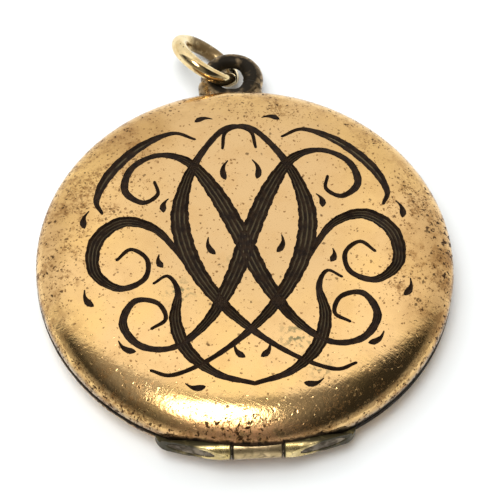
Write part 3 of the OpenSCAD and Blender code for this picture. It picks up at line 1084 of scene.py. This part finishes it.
def front_inside(brass, gold, paper, sheet):
    step = RECESS_DEPTH + STEP_T
    rim = [
        (INNER_R, 0), (INNER_R, WALL_H), (RECESS_R + SKIRT_T, WALL_H), (RECESS_R + SKIRT_T, step),
        (CUP_R + SKIRT_T, step), (CUP_R + SKIRT_T, FRONT_LEDGE + LEDGE_T),
        (LEDGE_R, FRONT_LEDGE + LEDGE_T), (LEDGE_R, FRONT_LEDGE), (CUP_R, FRONT_LEDGE),
        (CUP_R, RECESS_DEPTH), (RECESS_R, RECESS_DEPTH), (RECESS_R, 0),
    ]
    turned_piece("front_rim_ring", rim, FRONT, "lining_brass", "front_rim", brass, notch=True)
    picture_stack("front", FRONT, CUP_R - STACK_PLAY, FRONT_LEDGE, gold, paper, sheet)


# ---- hinge


def centre_knuckle(material):
    x = CENTRE_X
    outline = [(-x, BORE_R)]
    outline += fillet((-x, BORE_R), (-x, BARREL_R), (x, BARREL_R), KNUCKLE_CORNER)
    outline += fillet((-x, BARREL_R), (x, BARREL_R), (x, BORE_R), KNUCKLE_CORNER)
    outline.append((x, BORE_R))
    obj = turned_bar("hinge_knuckle_middle", outline, KNUCKLE_SEGMENTS, closed=True)
    obj.data.set_sharp_from_angle(angle=KNUCKLE_SHARP)
    place(obj, "front_half", "hinge_brass", "hinge_knuckle_centre", material)


def filled_back():
    """The back half as one filled solid, to cut the hinge leaves to its wall."""
    outline = dome_outline(CASE_R, HALF_T - WALL_H, BACK_FLAT_R, BACK_POWER) + [(CASE_R, 0), (0, 0)]
    return solid("filled_back", *revolve(on_seam(outline, BACK), False))


def filed_way(angle):
    """The way a filed face looks that is turned from the hinge axis by an angle in degrees."""
    a = math.radians(angle)
    return Vector((math.sin(a), -math.cos(a), 0))


def file_flat(obj, point, outward):
    """Cuts a piece off at a plane and closes the cut."""
    shape = bmesh.new()
    shape.from_mesh(obj.data)
    cut = bmesh.ops.bisect_plane(
        shape, geom=shape.verts[:] + shape.edges[:] + shape.faces[:],
        plane_co=point, plane_no=outward, clear_outer=True,
    )
    rim = [g for g in cut["geom_cut"] if isinstance(g, bmesh.types.BMEdge)]
    bmesh.ops.triangle_fill(shape, use_beauty=True, edges=rim, normal=outward)
    shape.to_mesh(obj.data)
    shape.free()
    fix_normals(obj)


def file_end(obj, inset=0.0, turns=1):
    """Files the right end of a piece on the hinge axis to a slanted face.

    With more turns, as many planes in all round the end off, from that face to the very end."""
    slanted = filed_way(FACET_ANGLE)
    start_x = OUTER_HIGH[0] - END_SHORT - END_ARC_R * (1 - slanted.x)
    start_y = HINGE_Y + (start_x - FACET_X) * math.tan(math.radians(FACET_ANGLE))
    arc_centre = Vector((start_x, start_y, 0)) - slanted * END_ARC_R
    for i in range(turns):
        outward = filed_way(FACET_ANGLE + (90 - FACET_ANGLE) * i / max(turns - 1, 1))
        file_flat(obj, arc_centre + outward * (END_ARC_R - inset), outward)


def mirror_x(obj):
    obj.data.transform(Matrix.Scale(-1, 4, (1, 0, 0)))
    obj.data.flip_normals()


def outer_knuckle(name, material):
    """The right or left outer knuckle with its leaf, filed end and bore, its edges softened by wear."""
    inner_x, outer_x = CENTRE_X + KNUCKLE_GAP, OUTER_HIGH[0]
    bar = turned_bar("bar", [(inner_x, 0), (inner_x, BARREL_R), (outer_x, BARREL_R), (outer_x, 0)])
    leaf = slab((LEAF_X, HINGE_Y, BACK_SEAM - LEAF_DEPTH), (outer_x, HINGE_Y + LEAF_BACK, BACK_SEAM))
    combine(leaf, filled_back(), "DIFFERENCE")
    combine(bar, leaf, "UNION")
    hole = turned_bar("hole", [(0, 0), (0, BORE_R), (PAST_END, BORE_R), (PAST_END, 0)])
    combine(bar, hole, "DIFFERENCE")
    file_end(bar, turns=END_TURNS)
    remesh(bar, KNUCKLE_VOXEL, KNUCKLE_RELAX)
    if name == "left":
        mirror_x(bar)
    bar.name = "hinge_knuckle_end_" + name
    place(bar, "back_half", "hinge_brass", "hinge_knuckle_" + name, material)


def hinge_pin(material):
    """The pin, filed off with the knuckles and a little sunk in them."""
    outline = [(-PAST_END, 0), (-PAST_END, PIN_R), (PAST_END, PIN_R), (PAST_END, 0)]
    bar = turned_bar("hinge_pin_wire", outline)
    file_end(bar, PIN_RECESS)
    mirror_x(bar)
    file_end(bar, PIN_RECESS)
    remesh(bar, KNUCKLE_VOXEL, PIN_RELAX)
    place(bar, "back_half", "pin_steel", "hinge_pin", material)


# ---- bail and jump ring


def wire_ring(name, radius, wire, start, end, segments, grow=1.0, outer_r=None):
    """A ring of wire in the XY plane from one angle to another, in degrees; its ends are rounded.

    wire gives its radius as (angle, radius) points, which wavers a little. Where outer_r is given,
    the outside keeps to it."""
    closed = end - start >= 360
    if closed:
        sections = [(start + (end - start) * i / segments, 1.0) for i in range(segments)]
    else:
        soft = math.degrees(wire[0][1] * SAWN_SOFTNESS / radius)
        sections = [(start + soft * turn, size) for turn, size in SAWN_END]
        ending = [(start + end - angle, size) for angle, size in reversed(sections)]
        sections += [(angle, 1.0) for angle in np.linspace(start + soft, end - soft, segments)[1:-1]]
        sections += ending
    vertices, rings = [], []
    for angle, size in sections:
        a = math.radians(angle)
        wire_r = np.interp((angle + 180) % 360 - 180, *zip(*wire), period=360)
        middle = radius if outer_r is None else outer_r - wire_r
        wire_r *= grow * (1 + 0.006 * math.sin(3 * a + 0.7) + 0.004 * math.sin(7 * a))
        count = 1 if size == 0 else WIRE_SIDES
        rings.append(range(len(vertices), len(vertices) + count))
        for k in range(count):
            b = 2 * math.pi * k / WIRE_SIDES
            out = middle + wire_r * size * math.cos(b)
            vertices.append((out * math.cos(a), out * math.sin(a), wire_r * size * math.sin(b)))
    return solid(name, vertices, bridged(rings, closed))


def bail_wire(name, start, end, segments, grow):
    """The bail loop's wire, or a stretch of it, in its place."""
    obj = wire_ring(name, BAIL_R, BAIL_WIRE, start, end, segments, grow, BAIL_R + BAIL_WIRE_R)
    obj.data.transform(Matrix.Translation(BAIL_CENTRE))
    return obj


def bail_loop(material):
    obj = bail_wire("bail_loop_wire", 0, 360, segments=180, grow=0.99)
    place(obj, "back_half", "dark_brass", "bail_loop", material)


def rod(name, start, end, radius):
    """A rod with round ends between two points."""
    start, end = Vector(start), Vector(end)
    length = (end - start).length
    outline = [(0, -radius)]
    for i in range(1, ROD_END_STEPS + 1):
        a = math.pi / 2 * i / ROD_END_STEPS
        outline.append((radius * math.sin(a), -radius * math.cos(a)))
    outline += [(r, length - z) for r, z in reversed(outline)]
    obj = solid(name, *revolve(outline, False, ROD_SEGMENTS))
    turn = (end - start).to_track_quat("Z", "Y").to_matrix().to_4x4()
    obj.data.transform(Matrix.Translation(start) @ turn)
    return obj


def bail_solder(material):
    """The solder foot: rods along the case and up the loop's legs, run together as solder does."""
    z = BAIL_CENTRE.z
    pieces = [rod("rod", (*start, z), (*end, z), SOLDER_R) for start, end in SOLDER_RODS]
    pieces.append(bail_wire("root", 200, 340, segments=60, grow=1.08))
    obj = join("bail_solder_fillet", pieces)
    remesh(obj, SOLDER_VOXEL, SOLDER_RELAX)
    place(obj, "back_half", "dark_brass", "bail_solder", material)


def jump_ring(material):
    """The loose ring, sawn through once, leaning over the far wire of the bail loop."""
    gap = math.degrees(RING_CUT / RING_R) / 2
    start = RING_CUT_ANGLE + gap
    end = start + 360 - 2 * gap
    obj = wire_ring("jump_ring_wire", RING_R, RING_WIRE, start, end, segments=220)
    tilt = math.acos(RING_NORMAL.z)
    turn = math.atan2(RING_NORMAL.y, RING_NORMAL.x)
    turned = Matrix.Rotation(turn, 4, "Z") @ Matrix.Rotation(tilt, 4, "Y")
    obj.data.transform(Matrix.Translation(RING_CENTRE) @ turned)
    obj.data.set_sharp_from_angle(angle=RING_SHARP)
    place(obj, "ring", "bright_gold", "jump_ring", material)


# ---- camera, light and floor

CAMERA_TURN, CAMERA_HEIGHT, CAMERA_ROLL = -5.37, 58.1, 2.48
CAMERA_DISTANCE = 180
CAMERA_LENS = 168.7
CAMERA_SHIFT = 0.0332
CAMERA_CLIP_START = 0.01
# Side of the square floor in metres
FLOOR_SIZE = 3.0


def add_camera():
    a, e = math.radians(CAMERA_TURN), math.radians(CAMERA_HEIGHT)
    back = Vector((math.sin(a) * math.cos(e), -math.cos(a) * math.cos(e), math.sin(e)))
    right = Vector((math.cos(a), math.sin(a), 0))
    up = back.cross(right)
    axes = Matrix((right, up, back)).transposed().to_4x4()
    camera = linked("camera", bpy.data.cameras.new("camera"))
    camera.data.lens = CAMERA_LENS
    camera.data.shift_y = CAMERA_SHIFT
    camera.data.clip_start = CAMERA_CLIP_START
    middle = Vector((0, 0, SEAM_Z))
    spot = Matrix.Translation((middle + back * CAMERA_DISTANCE) * MM)
    camera.matrix_world = spot @ axes @ Matrix.Rotation(math.radians(CAMERA_ROLL), 4, "Z")
    bpy.context.scene.camera = camera


def area_light(name, towards, distance, width, height, watts, colour, upright=(0, 1, 0), mirrored=True):
    """An oval lamp in a direction from the middle of the object, facing it, its height along upright.

    Where mirrored is off, the lamp lights surfaces but isn't seen in reflections."""
    lamp = bpy.data.lights.new(name, "AREA")
    lamp.shape = "ELLIPSE"
    lamp.size, lamp.size_y = width, height
    lamp.energy = watts
    lamp.color = colour
    obj = linked(name, lamp)
    obj.visible_glossy = mirrored
    direction = Vector(towards).normalized()
    obj.location = direction * distance
    side = Vector(upright).cross(direction).normalized()
    axes = Matrix((side, direction.cross(side), direction)).transposed()
    obj.rotation_mode = "QUATERNION"
    obj.rotation_quaternion = axes.to_quaternion()


def add_world():
    """A bright wall and ceiling behind the object, and a dark room on the camera's side."""
    world = bpy.data.worlds.new("room")
    world.use_nodes = True
    bpy.context.scene.world = world
    s = Nodes(world.node_tree, "OutputWorld")
    x = s.node("SeparateXYZ", {0: s.node("TexCoord", {}, "Generated")})
    y, z = x.also(1), x.also(2)
    far = s.ramp(y, 0.145, 0.195)
    bright = s.ramp(z, 0.55, 0.97, 0.90, 1.22)
    aside = x + 0.2
    across = s.calc("SQRT", aside * aside + y * y * 0.3)
    dark = s.ramp(across, 0.15, 0.7, 0.38, 0.03) + s.ramp(z, 0.2, 0.5, 0.42, 0.0)
    level = far * bright + (1.0 - far) * dark
    lit = s.node("Background", {"Color": (1.0, 0.985, 0.965), "Strength": level})
    plain = s.node("Background", {"Color": (0.93, 0.94, 0.95)})
    seen = s.node("LightPath", {}, "Is Camera Ray")
    s.feed(s.node("MixShader", {0: seen, 1: lit, 2: plain}), s.surface)


def add_floor():
    half = FLOOR_SIZE / 2
    corners = [(-half, -half, 0), (half, -half, 0), (half, half, 0), (-half, half, 0)]
    floor = new_object("floor", corners, [(0, 1, 2, 3)], smooth=False)
    floor.data.materials.append(pale_floor("white_table"))


def add_stage():
    add_camera()
    add_world()
    add_floor()
    area_light(
        "overhead_lamp", (-0.135, -0.21, 0.97), 0.5, 0.18, 0.27, 0.95, (1.0, 0.985, 0.96),
        upright=(0.3, 0.55, 0),
    )
    area_light("soft_fill", (-0.32, -0.18, 0.93), 0.9, 1.0, 1.0, 5.2, (0.95, 0.985, 1.0), mirrored=False)
    bpy.context.scene.view_settings.view_transform = "Standard"


# ---- the locket


def carry_over(node, material):
    """A CAD node whose shape is right keeps it, and gets its finish."""
    obj = frame["nodes"][node]
    obj.data.materials.clear()
    obj.data.materials.append(material)


def build():
    front_gold = rolled_gold(
        "rolled_gold_front", FRONT_SEAM_DIRT_AND_SHADE, WEAR_PATCHES, DULL_PATCHES, GREEN_PATCHES
    )
    back_gold = rolled_gold("rolled_gold_back", BACK_SEAM_DIRT_AND_SHADE, BACK_WEAR_PATCHES)
    dark = engraved_dark("engraved_dark")
    metals = {name: worn_metal(name, *finish) for name, finish in METALS.items()}
    lining, bezel_gold = metals["lining_brass"], metals["bezel_gold"]
    paper = aged_card("picture_card")
    sheet = clear_sheet("clear_sheet")
    front_cover(front_gold, dark)
    back_cover(back_gold)
    back_inside(lining, bezel_gold, paper, sheet)
    front_inside(lining, bezel_gold, paper, sheet)
    centre_knuckle(metals["hinge_brown_brass"])
    for side in ("right", "left"):
        outer_knuckle(side, metals["hinge_brass"])
    bail_loop(metals["dark_brass"])
    bail_solder(metals["dark_brass"])
    jump_ring(metals["bright_gold"])
    hinge_pin(metals["pin_steel"])
    for node in ("catch_nib", "back_lining", "front_lining"):
        carry_over(node, lining)


add_stage()
build()
